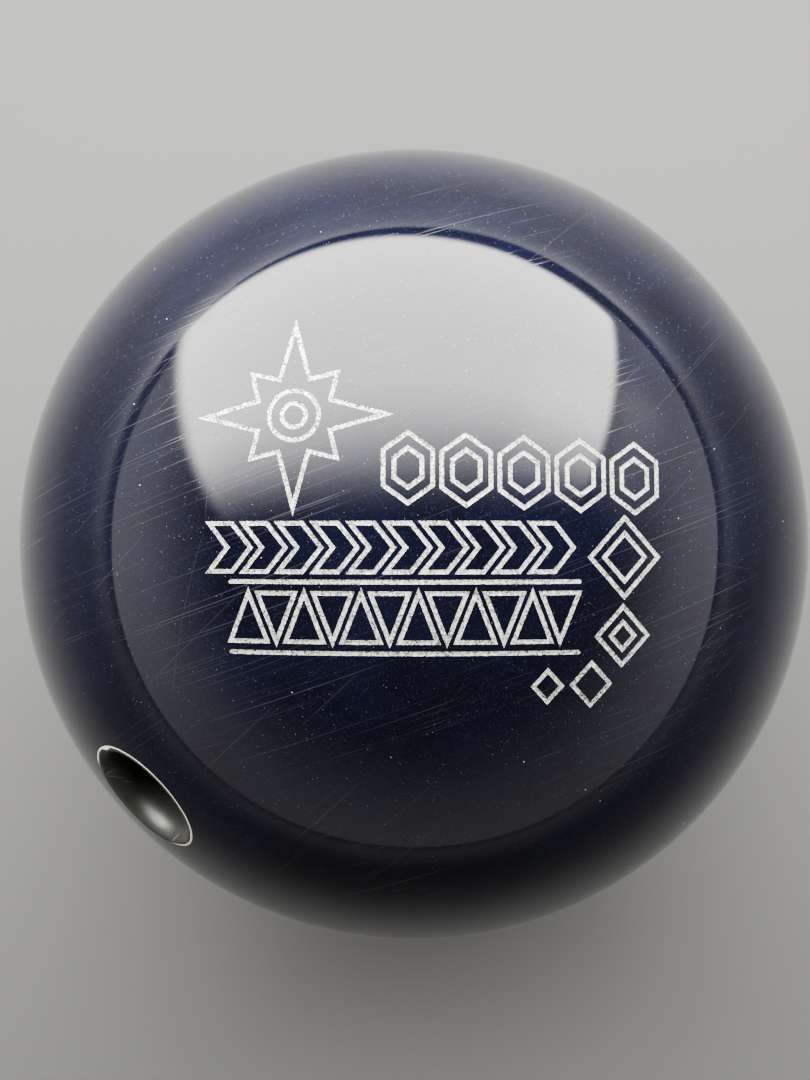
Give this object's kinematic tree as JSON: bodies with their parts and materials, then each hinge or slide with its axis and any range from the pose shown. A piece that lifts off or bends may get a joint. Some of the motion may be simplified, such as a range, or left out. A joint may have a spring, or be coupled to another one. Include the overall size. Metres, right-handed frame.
{
  "type": "bowling ball",
  "caption": "Drilled ten-pin bowling ball: glossy resin cover with an engraved emblem, thumb slug, two finger inserts, outer core and weight block.",
  "frame": {"origin": "centre of the ball", "axes": "+Z out through the middle of the engraved emblem; the grip's midline lies in the YZ plane, thumb hole above and finger holes below on the -Y side; +X to the middle finger's side"},
  "size_m": [0.217, 0.217, 0.217],
  "materials": {
    "coverstock": "polished near-black navy resin with fine blue and silver flakes and light scratches",
    "outer_core": "cast filled resin, dull",
    "weight_block": "dense cast filled resin, dull",
    "locator_pin": "polished flush with the cover",
    "mass_bias_pin": "polished flush with the cover",
    "thumb_slug": "satin black urethane, reamed and sanded",
    "finger_insert": "soft matt black vinyl",
    "glue": "set pale epoxy, sanded flush",
    "emblem_paint": "silver glitter paint in the engraved grooves"
  },
  "bodies": {
    "root": {"coverstock": "coverstock", "outer_core": "outer_core", "weight_block": "weight_block", "locator_pin": "locator_pin", "mass_bias_pin": "mass_bias_pin", "thumb_slug": "thumb_slug", "thumb_slug_glue": "glue", "middle_finger_insert": "finger_insert", "middle_finger_glue": "glue", "ring_finger_insert": "finger_insert", "ring_finger_glue": "glue"}
  },
  "joints": []
}
